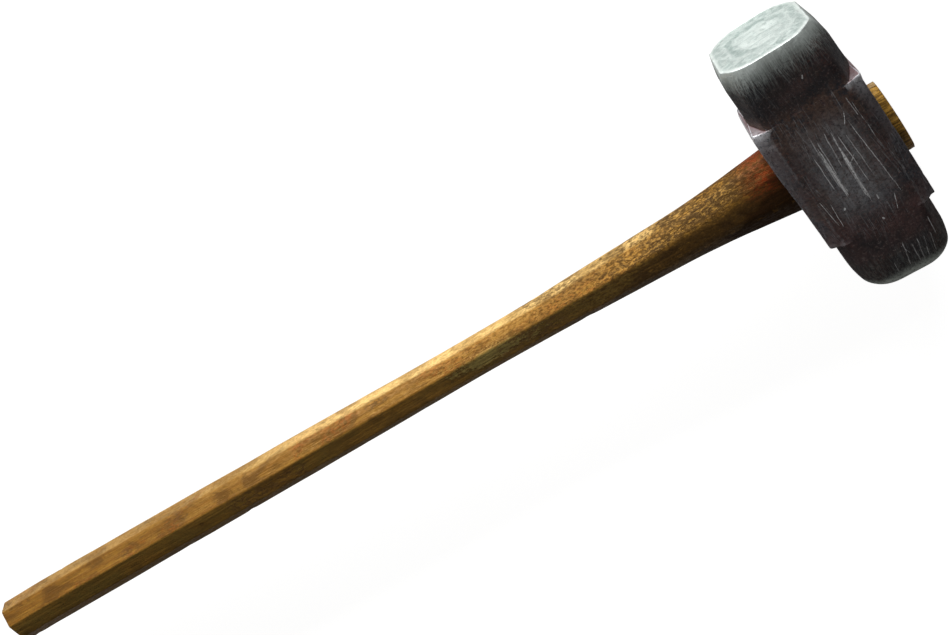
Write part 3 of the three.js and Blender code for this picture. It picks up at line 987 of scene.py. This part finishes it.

# %% Scale and rust, and painted shade on the polls' -X side
forged_steel, tree, shader, place = new_material("forged_steel")
at_x, at_y, at_z, out_x, out_y, out_z = places_and_normals(tree, place)
spots = use(blotches, {"Vector": place, "Scale": 42.0})
big = use(blotches, {"Vector": mapped(place, move=(0.4, 0.1, 0)), "Scale": 17.0})
small = use(blotches, {"Vector": mapped(place, move=(0.2, 0.7, 0)), "Scale": 90.0})
grit = noise(place, 480, 5, 0.8)
base = tint(spots["Broad"], SCALE_DARK, SCALE_BROWN)
base = tint(ease(small["Broad"], 0.35, 0.8, 0.0, 0.6), base, SCALE_PURPLE)
base = tint(ease(big["Broad"], 0.58, 0.85, 0.0, 0.8), base, SCALE_BLUE)
base = tint(ease(small["Fine"], 0.62, 0.95, 0.0, 0.5), base, RUST_RED)
brown_part = times(window(at_y, 0.015, 0.045, 0.056, 0.066), ease(spots["Fine"], 0.2, 0.7))
base = tint(times(brown_part, 0.7), base, RUST_BROWN)
red_part = window(at_y, -0.085, -0.07, -0.05, -0.025)
red_part = times(red_part, ease(spots["Broad"], 0.1, 0.7, 0.3, 1.0))
base = tint(times(red_part, 0.6), base, RUST_PURPLE)
on_polls = times(ease(unsigned(at_y), 0.056, 0.068), ease(big["Broad"], 0.2, 0.7, 0.3, 0.75))
base = tint(on_polls, base, SCALE_DARK)
# Painted shade: the polls darken to near black towards -X.
base = tint(times(on_polls, ease(at_x, 0.0, -0.030)), base, POLL_SHADE_BLACK)

# %% Grey wear in the middle of the cheeks
cheek = times(ease(unsigned(at_x), 0.033, 0.008), ease(unsigned(at_y), 0.054, 0.020))
cheek = times(cheek, ease(unsigned(out_z), 0.8, 0.97))
dragged = stretched_noise(place, (260, 14, 260), 4, 0.6)
cheek = times(cheek, ease(dragged, 0.3, 0.65, 0.35, 1.0), ease(spots["Fine"], 0.1, 0.8, 0.45, 1.0))
base = tint(times(cheek, 0.85), base, WORN_GREY)

# %% Streaks off the struck face and the plain face
streak = times(minus(stretched_noise(place, (1000, 34, 1000), 4, 0.65), 0.5), 0.020)
uneven = times(minus(stretched_noise(place, (60, 20, 60), 3, 0.6), 0.5), 0.016)
uneven = plus(streak, uneven)
reach = plus(at_y, times(uneven, ease(at_y, 0.109, 0.088, 0.3, 1.0)))
band = ease(reach, 0.0875, 0.1085)
long_hairs = use(hair_scratches, {"Vector": place, "Thinness": 0.035, "Cover": 0.68})["Mask"]
near_faces = most(ease(at_y, 0.076, 0.098), ease(at_y, -0.070, -0.095, 0.0, 0.35))
base = tint(times(long_hairs, near_faces, 0.42), base, BAND_GREY)
base = tint(band, base, BAND_GREY)
base = tint(ease(reach, 0.097, 0.111), base, BARE_WHITE)
plain_reach = minus(times(uneven, 0.4), at_y)
base = tint(ease(plain_reach, 0.0955, 0.1045, 0.0, 0.9), base, BAND_GREY)

# %% Steps, rubbed edges and painted highlights at the shoulders
edge = marked(tree, "edge")
step_depth = ease(plus(edge, times(small["Fine"], 0.004)), 0.001, 0.0055)
base = tint(marked(tree, "step"), base, tint(step_depth, STEP_PINK, STEP_RED))
on_cheek = ease(unsigned(at_y), 0.0563, 0.0553)
strip = times(ease(unsigned(at_x), 0.0295, 0.0385), on_cheek, 0.8)
strip = times(strip, ease(at_y, -0.02, 0.056, 0.6, 1.0), ease(dragged, 0.25, 0.6, 0.5, 1.0))
strip = times(strip, ease(spots["Fine"], 0.2, 0.8, 0.7, 1.0))
base = tint(strip, base, STRIP_GREY)
# Painted highlight: the worn strips turn pale towards the struck side's shoulder.
base = tint(times(strip, ease(at_y, 0.034, 0.057)), base, STRIP_HIGHLIGHT)
rubbed = use(worn_edge, {"Vector": place, "Width": 0.0016, "Ragged": 0.0016})["Mask"]
base = tint(times(rubbed, ease(dragged, 0.42, 0.62), 0.35), base, WORN_GREY)
# Bright rubbed metal at the shoulders' corners, partly a painted highlight: it is strongest on the +Y
# side, towards the key light.
frayed = times(minus(dragged, 0.5), 0.012)
shoulder_wear_and_highlight = ease(plus(marked(tree, "shoulder"), frayed), 0.0062, 0.0)
on_rim = times(ease(edge, 0.0016, 0.0006), ease(unsigned(at_y), 0.058, 0.057))
shoulder_wear_and_highlight = times(shoulder_wear_and_highlight, most(on_cheek, on_rim), ease(at_y, -0.04, 0.04, 0.12, 1.0))
base = tint(shoulder_wear_and_highlight, base, BRIGHT_EDGE)

# %% Scratches and grit
hairs = use(hair_scratches, {"Vector": place, "Thinness": 0.02, "Cover": 0.5})["Mask"]
hairs = times(hairs, ease(unsigned(at_y), 0.066, 0.052, 0.3, 1.0))
base = tint(times(hairs, 0.6), base, WORN_GREY)
over_cheek = put(tree, "CombineXYZ", {0: at_x, 1: at_y, 2: HEAD_DEPTH}).outputs[0]
masks = []
for x0, y0, x1, y1, wide in CHEEK_SCRATCHES:
    start = (x0 * MM, y0 * MM, HEAD_DEPTH)
    run = ((x1 - x0) * MM, (y1 - y0) * MM, 0)
    sockets = {"Vector": over_cheek, "Start": start, "Run": run, "Half Width": wide * MM / 2}
    masks.append(use(scratch, sockets)["Mask"])
thready = ease(stretched_noise(place, (1500, 40, 1500), 3, 0.6), 0.38, 0.56, 0.22, 1.0)
fainter = ease(at_y, -0.082, -0.070, 0.5, 1.0)
gouges = times(most(*masks), thready, ease(out_z, 0.2, 0.6), fainter)
base = tint(gouges, base, SCRATCH_WHITE)
off_face = ease(reach, 0.104, 0.092)
base = tint(times(ease(grit, 0.51, 0.64, 0.0, 0.72), off_face), base, GRIT_DARK)
base = tint(times(ease(grit, 0.45, 0.34, 0.0, 0.5), off_face), base, GRIT_LIGHT)
print(len(masks), "scratches on the upper side of the head")

# %% The struck face
# The face attribute is 0 at the rim and 1 in the middle. Blows have dulled a ring between
# the two, most of it on one side, and the rim and the middle in places.
face = marked(tree, "face")
on_struck = times(ease(face, 0.0, 0.03), ease(at_y, 0.09, 0.1))
brushed = stretched_noise(place, (45, 1, 240), 4, 0.65)
mottle = stretched_noise(place, (150, 1, 200), 5, 0.72, (3, 0, 1))
ring_at = plus(face, times(minus(noise(place, 60, 5, 0.6), 0.5), 0.5))
one_side = ease(plus(at_x, at_z), 0.085, 0.01, 0.45, 1.0)
ring = times(window(ring_at, 0.24, 0.42, 0.46, 0.62), one_side, ease(mottle, 0.34, 0.58, 0.5, 1.0))
outer = times(ease(face, 0.03, 0.09), ease(brushed, 0.42, 0.66, 0.1, 0.6))
middle = times(ease(face, 0.4, 0.6), ease(mottle, 0.5, 0.62, 0.0, 0.55))
rim_wear = times(ease(face, 0.02, 0.11), ease(ring_at, 0.42, 0.22, 0.0, 0.8))
rim_wear = times(rim_wear, ease(mottle, 0.36, 0.58, 0.3, 1.0))
dull = most(ring, outer, middle, rim_wear)
base = tint(on_struck, base, tint(dull, BARE_WHITE, FACE_GREY))

# %% Shine, metal and relief of the steel
bare = most(band, on_struck, gouges, shoulder_wear_and_highlight, times(cheek, 0.7))
dullness = plus(ease(spots["Fine"], 0.0, 1.0, 0.5, 0.68), times(bare, -0.12), times(gouges, -0.1))
relief = plus(times(spots["Fine"], 0.5), times(grit, 0.5), times(small["Pits"], -0.9))
relief = plus(relief, times(gouges, -0.6), times(hairs, -0.25))
relief = times(relief, ease(on_struck, 0.0, 1.0, 1.0, 0.35))
feed(shader, {"Base Color": base, "Metallic": ease(bare, 0.0, 1.0, 0.3, 0.6)})
feed(shader, {"Roughness": dullness, "Normal": bumped(relief, 0.6, 0.0004)})
dress(head_piece, forged_steel)
print("forged steel has", len(tree.nodes), "nodes")

# %% [markdown]
# ## Oiled hickory
# The haft is gold-brown, with long fibres, and has been oiled and handled until it shines.
# Dirt has turned it olive and dark in patches, mostly on its upper and lower flats, and the
# faces turned to -Y, away from the key light, have the same olive as painted shade. It is
# flecked at the neck, worn through to grey wood in one patch on the upper flat, and reddish
# and nearly black where it enters the head, more so on its -Y half. Faces turned to +Y,
# towards the key light, carry a painted sheen, a paler painted highlight and, at the neck,
# painted glints. The oil film is a thin clear coat that the flecks interrupt, so that the
# highlight along the edge, partly painted, breaks up.

# %% Colours of the haft
GOLD = (0.345, 0.168, 0.026)
AMBER = (0.25, 0.098, 0.014)
RUSSET = (0.33, 0.092, 0.013)
SHEEN_GOLD = (0.43, 0.205, 0.028)
GLINT_GOLD = (0.56, 0.30, 0.05)
HIGHLIGHT_PALE_GOLD = (1.0, 0.68, 0.26)
BARK_BROWN = (0.115, 0.048, 0.010)
PORE_BROWN = (0.09, 0.045, 0.015)
FLECK_BROWN = (0.055, 0.026, 0.006)
RIM_BROWN = (0.055, 0.024, 0.007)
CRUST_BROWN = (0.10, 0.052, 0.018)
HEAD_END_BROWN = (0.062, 0.029, 0.007)
BUTT_BROWN = (0.07, 0.035, 0.012)
OLIVE = (0.145, 0.095, 0.021)
GREY_WOOD = (0.27, 0.215, 0.068)
RED_STAIN = (0.30, 0.032, 0.007)
NEAR_BLACK = (0.030, 0.013, 0.006)
END_PALE = (0.66, 0.36, 0.07)
END_DARK = (0.20, 0.105, 0.022)

# %% Oiled wood
oiled_hickory, tree, shader, place = new_material("oiled_hickory")
at_x, at_y, at_z, out_x, out_y, out_z = places_and_normals(tree, place)
grain = use(wood_grain, {"Vector": place, "Ring Width": 0.0052})
dirt_place = mapped(place, scale=(0.45, 1, 1))
dirt = use(blotches, {"Vector": dirt_place, "Scale": 60.0})
wide_dirt = use(blotches, {"Vector": mapped(dirt_place, move=(0.3, 0, 0)), "Scale": 22.0})
base = tint(times(grain["Rings"], 0.6), GOLD, AMBER)
base = tint(times(grain["Fibre"], 0.55), base, BARK_BROWN)
base = tint(ease(dirt["Broad"], 0.45, 0.95, 0.0, 0.75), base, BARK_BROWN)
warm = ease(wide_dirt["Broad"], 0.5, 0.85, 0.0, 0.75)
base = tint(times(warm, ease(dirt["Fine"], 0.3, 0.7)), base, RUSSET)

# %% Dirt in flecks and patches, and painted shade on the -Y side
flecks = stretched_noise(place, (260, 560, 560), 5, 0.75)
patchy = stretched_noise(place, (45, 80, 80), 4, 0.6)
rough_zone = window(at_x, -0.32, -0.19, -0.06, -0.03)
rough_zone = plus(rough_zone, ease(wide_dirt["Broad"], 0.6, 0.9, 0.0, 0.6))
fleck = times(ease(flecks, 0.47, 0.59), ease(rough_zone, 0.0, 1.0, 0.22, 0.8))
base = tint(fleck, base, FLECK_BROWN)
patch = times(ease(patchy, 0.45, 0.62), ease(rough_zone, 0.0, 1.0, 0.15, 0.75))
base = tint(patch, base, BARK_BROWN)
level = ease(unsigned(out_z), 0.82, 0.97)
olive = times(level, ease(wide_dirt["Broad"], 0.0, 1.0, 0.35, 0.9))
# Olive dirt on the upper and lower flats. Faces turned to -Y, away from the key light, get the same
# olive as painted shade.
base = tint(most(olive, ease(out_y, -0.3, -0.6, 0.0, 0.5)), base, OLIVE)

# %% A patch worn through, and painted highlights on the side towards the key light
# The distance to the patch's middle is 1 on an ellipse, and dirt and flecks fray its rim.
WORN_PATCH_AT = (-0.300, 0.002, AXIS_HEIGHT + 0.017)
WORN_PATCH_SPREAD = (1 / 0.042, 1 / 0.0065, 1 / 0.02)
from_patch = mapped(vector("SUBTRACT", place, WORN_PATCH_AT), scale=WORN_PATCH_SPREAD)
from_patch = plus(vector("LENGTH", from_patch), times(minus(patchy, 0.5), 1.6))
from_patch = plus(from_patch, times(minus(flecks, 0.5), 3.0))
base = tint(times(window(from_patch, 0.75, 1.0, 1.05, 1.35), 0.65), base, RIM_BROWN)
base = tint(ease(from_patch, 1.05, 0.65, 0.0, 0.7), base, GREY_WOOD)
# Painted sheen: lighter gold over the faces turned to +Y, towards the key light, along the middle of
# the haft.
painted_sheen = times(ease(out_y, 0.45, 0.8), window(at_x, -0.42, -0.3, -0.10, -0.05))
base = tint(times(painted_sheen, ease(flecks, 0.58, 0.42, 0.1, 0.6)), base, SHEEN_GOLD)
# Painted highlight: a pale gold band on the faces turned to +Y, towards the key light, broken by the
# flecks.
painted_highlight = times(ease(out_y, 0.86, 0.98), ease(at_x, -0.62, -0.40, 0.3, 1.0))
painted_highlight = times(painted_highlight, ease(at_x, -0.09, -0.16), ease(flecks, 0.58, 0.42, 0.55, 1.0))
painted_highlight = times(painted_highlight, ease(patchy, 0.62, 0.42, 0.5, 1.0))
base = tint(painted_highlight, base, HIGHLIGHT_PALE_GOLD)
crust = times(marked(tree, "flaked"), ease(dirt["Fine"], 0.35, 0.7))
base = tint(times(crust, 0.75), base, CRUST_BROWN)

# %% Darkening, stains and painted glints near the head
in_eye = ease(at_x, 0.036, 0.03)
# The haft turns dark brown towards the head, and more so on its -Y half.
head_end_black = plus(at_x, times(minus(dirt["Broad"], 0.5), 0.06))
head_end_black = minus(head_end_black, times(at_y, 1.6))
head_end_darkening = plus(minus(head_end_black, at_y), times(minus(flecks, 0.5), 0.55))
base = tint(times(ease(head_end_darkening, -0.25, -0.12, 0.0, 0.92), in_eye), base, HEAD_END_BROWN)
on_neck = window(at_x, -0.24, -0.16, -0.085, -0.05)
base = tint(times(on_neck, ease(patchy, 0.5, 0.62, 0.0, 0.6)), base, NEAR_BLACK)
# Painted glints: pale gold flecks on the neck's faces turned to +Y, towards the key light.
painted_glints = times(on_neck, ease(flecks, 0.49, 0.39, 0.0, 0.5), ease(out_y, 0.2, 0.75))
base = tint(painted_glints, base, GLINT_GOLD)
reddened = times(window(at_x, -0.2, -0.06, -0.041, -0.03), ease(at_x, -0.078, -0.048))
reddened = times(reddened, ease(at_y, -0.004, 0.012), ease(flecks, 0.58, 0.42, 0.15, 0.8))
base = tint(reddened, base, RED_STAIN)
# Near black towards the head, more so on the -Y half. The same mask makes these places matte.
head_end_black = times(ease(head_end_black, -0.12, -0.045), in_eye)
base = tint(times(head_end_black, 0.88), base, NEAR_BLACK)

# %% End grain, pores, specks and the butt
growth = ease(stretched_noise(place, (25, 620, 620), 3, 0.6), 0.38, 0.6)
base = tint(ease(at_x, 0.0395, 0.0405), base, tint(growth, END_PALE, END_DARK))
base = tint(times(grain["Pores"], 0.6), base, PORE_BROWN)
speck = put(tree, "TexVoronoi", {"Vector": mapped(place, scale=(0.6, 1, 1)), "Scale": 55.0}).outputs[0]
speck = times(ease(speck, 0.13, 0.05), ease(dirt["Broad"], 0.4, 0.6))
base = tint(times(speck, 0.5), base, NEAR_BLACK)
rubbed = use(worn_edge, {"Vector": place, "Width": 0.0016, "Ragged": 0.0026})["Mask"]
base = tint(times(rubbed, 0.3), base, GOLD)
base = tint(ease(out_x, -0.35, -0.8, 0.0, 0.85), base, BUTT_BROWN)

# %% The haft's shine and relief
OILED_SHINE = {"Coat Roughness": 0.3, "Specular Tint": (1.0, 0.62, 0.22, 1)}
relief = plus(times(grain["Fibre"], 0.35), times(grain["Rings"], 0.2), times(crust, -0.5))
relief = plus(relief, times(flecks, rough_zone, 1.2), times(speck, -0.8), times(dirt["Fine"], 0.25))
feed(shader, {"Base Color": base, "Roughness": ease(flecks, 0.4, 0.6, 0.3, 0.65)})
feed(shader, {"Coat Weight": ease(flecks, 0.4, 0.58, 0.04, 0.0)})
feed(shader, {"Specular IOR Level": ease(head_end_black, 0.0, 1.0, 0.55, 0.08)})
feed(shader, {"Normal": bumped(relief, 0.7, 0.0005)})
feed(shader, OILED_SHINE)
dress(haft_piece, oiled_hickory)
print("oiled hickory has", len(tree.nodes), "nodes")

# %% [markdown]
# ## Wedge wood and wedge steel
# The wooden wedge is paler and drier than the haft, and only its end grain and a sliver of
# its sides show. The steel wedges are plain mild steel: grey, scratched, with rust in the pits
# and bright edges where the hammer landed.

# %% The wooden wedge's wood
WEDGE_PALE, WEDGE_RING = (0.68, 0.46, 0.2), (0.48, 0.28, 0.1)
WEDGE_FIBRE, WEDGE_DIRT = (0.3, 0.17, 0.06), (0.16, 0.09, 0.04)
wedge_wood, tree, shader, place = new_material("wedge_wood")
grain = use(wood_grain, {"Vector": place, "Ring Width": 0.0016})
dirt = use(blotches, {"Vector": place, "Scale": 120.0})
base = tint(grain["Rings"], WEDGE_PALE, WEDGE_RING)
base = tint(times(grain["Fibre"], 0.4), base, WEDGE_FIBRE)
base = tint(ease(dirt["Broad"], 0.55, 1.0, 0.0, 0.6), base, WEDGE_DIRT)
relief = plus(grain["Rings"], times(dirt["Fine"], 0.6))
feed(shader, {"Base Color": base, "Roughness": ease(dirt["Fine"], 0.0, 1.0, 0.55, 0.8)})
feed(shader, {"Normal": bumped(relief, 0.6, 0.0003)})
dress(wood_wedge_piece, wedge_wood)

# %% The steel wedges' metal
MILD_GREY, MILD_BROWN = (0.32, 0.31, 0.31), (0.2, 0.15, 0.13)
PIT_RUST, MILD_BARE = (0.2, 0.08, 0.04), (0.6, 0.6, 0.6)
wedge_steel, tree, shader, place = new_material("wedge_steel")
dirt = use(blotches, {"Vector": place, "Scale": 150.0})
base = tint(dirt["Broad"], MILD_GREY, MILD_BROWN)
base = tint(times(dirt["Pits"], 0.8), base, PIT_RUST)
rubbed = use(worn_edge, {"Vector": place, "Width": 0.0008, "Ragged": 0.0008})["Mask"]
base = tint(times(rubbed, 0.8), base, MILD_BARE)
hairs = use(hair_scratches, {"Vector": place, "Thinness": 0.04, "Cover": 0.6})["Mask"]
base = tint(times(hairs, 0.5), base, MILD_BARE)
relief = minus(dirt["Fine"], times(hairs, 0.5))
feed(shader, {"Base Color": base, "Metallic": ease(rubbed, 0.0, 1.0, 0.4, 0.8)})
feed(shader, {"Roughness": ease(dirt["Fine"], 0.0, 1.0, 0.4, 0.65)})
feed(shader, {"Normal": bumped(relief, 0.6, 0.0003)})
for piece in steel_wedge_pieces:
    dress(piece, wedge_steel)

# %% [markdown]
# ## Which piece stands for what
# Each new piece stands for one part of the imported model and rides on the hammer's one body.

# %% Tie the pieces to the imported model
TIES = [
    (head_piece, "head", "forged_steel"),
    (haft_piece, "haft", "oiled_hickory"),
    (wood_wedge_piece, "wooden_wedge", "wedge_wood"),
    (steel_wedge_pieces[0], "steel_wedge_near_struck_poll", "wedge_steel"),
    (steel_wedge_pieces[1], "steel_wedge_near_plain_poll", "wedge_steel"),
]
for piece, node, slot in TIES:
    piece.data.set_sharp_from_angle(angle=math.radians(38))
    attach(piece, "root")
    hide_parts(node)
    print(piece.name, "stands for", node)

# %% [markdown]
# ## Floor and light
# The hammer lies on a plain pale floor. One wide, low softbox stands beyond the struck
# face and rakes across the hammer: what faces it is bright, and the flats that face up stay
# dark and show their texture. A much weaker one opposite keeps the far edges from going
# black, and a small one overhead puts a sheen on the worn cheek. The floor would be as dark
# as the flats, so it glows a little for the camera, as a light table does, and it gives no
# extra light.

# %% Floor
FLOOR_HALF = 6
floor_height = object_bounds()[0][2]
SQUARE = ((-1, -1), (1, -1), (1, 1), (-1, 1))
floor_corners = [(x * FLOOR_HALF, y * FLOOR_HALF, floor_height) for x, y in SQUARE]
floor_mesh = bpy.data.meshes.new("floor")
floor_mesh.from_pydata(floor_corners, [], [(0, 1, 2, 3)])
floor = bpy.data.objects.new("floor", floor_mesh)
bpy.context.scene.collection.objects.link(floor)
floor_white, tree, shader, place = new_material("floor_white")
seen_directly = put(tree, "LightPath").outputs["Is Camera Ray"]
feed(shader, {"Base Color": (0.72, 0.72, 0.72, 1), "Roughness": 0.9, "Specular IOR Level": 0.1})
feed(shader, {"Emission Color": (1, 1, 1, 1), "Emission Strength": times(seen_directly, 0.9)})
dress(floor, floor_white)


# %% Lights
def softbox(name, place, aim, size, watts, colour=(1, 1, 1)):
    """A rectangle of even light at a place, turned to face the aim."""
    light = bpy.data.lights.new(name, "AREA")
    light.shape = "RECTANGLE"
    light.size, light.size_y = size
    light.energy = watts
    light.color = colour
    lamp = bpy.data.objects.new(name, light)
    bpy.context.scene.collection.objects.link(lamp)
    lamp.location = place
    lamp.rotation_euler = (Vector(place) - Vector(aim)).to_track_quat("Z", "Y").to_euler()
    lamp.visible_camera = False
    return lamp


MIDDLE = (BUTT_END + TONGUE_END) / 2
softbox("key", (MIDDLE, 2.0, 0.42), (MIDDLE, 0, 0.03), (2.6, 0.5), 64)
softbox("fill", (MIDDLE, -2.0, 0.5), (MIDDLE, 0, 0.03), (2.6, 0.6), 4, (1.0, 0.96, 0.88))
softbox("sheen", (-0.62, -0.52, 1.85), (0, 0, HEAD_DEPTH), (0.7, 0.7), 2.2)

world = bpy.data.worlds.new("studio")
bpy.context.scene.world = world
world.use_nodes = True
tree = world.node_tree
tree.nodes.clear()
dim = put(tree, "Background", {"Color": (1, 0.98, 0.95, 1), "Strength": 0.035})
paper = put(tree, "Background", {"Color": (1, 1, 1, 1), "Strength": 1.0})
seen_directly = put(tree, "LightPath").outputs["Is Camera Ray"]
sky = put(tree, "MixShader", {0: seen_directly, 1: dim.outputs[0], 2: paper.outputs[0]})
tree.links.new(sky.outputs[0], put(tree, "OutputWorld").inputs[0])
bpy.context.scene.view_settings.view_transform = "Standard"
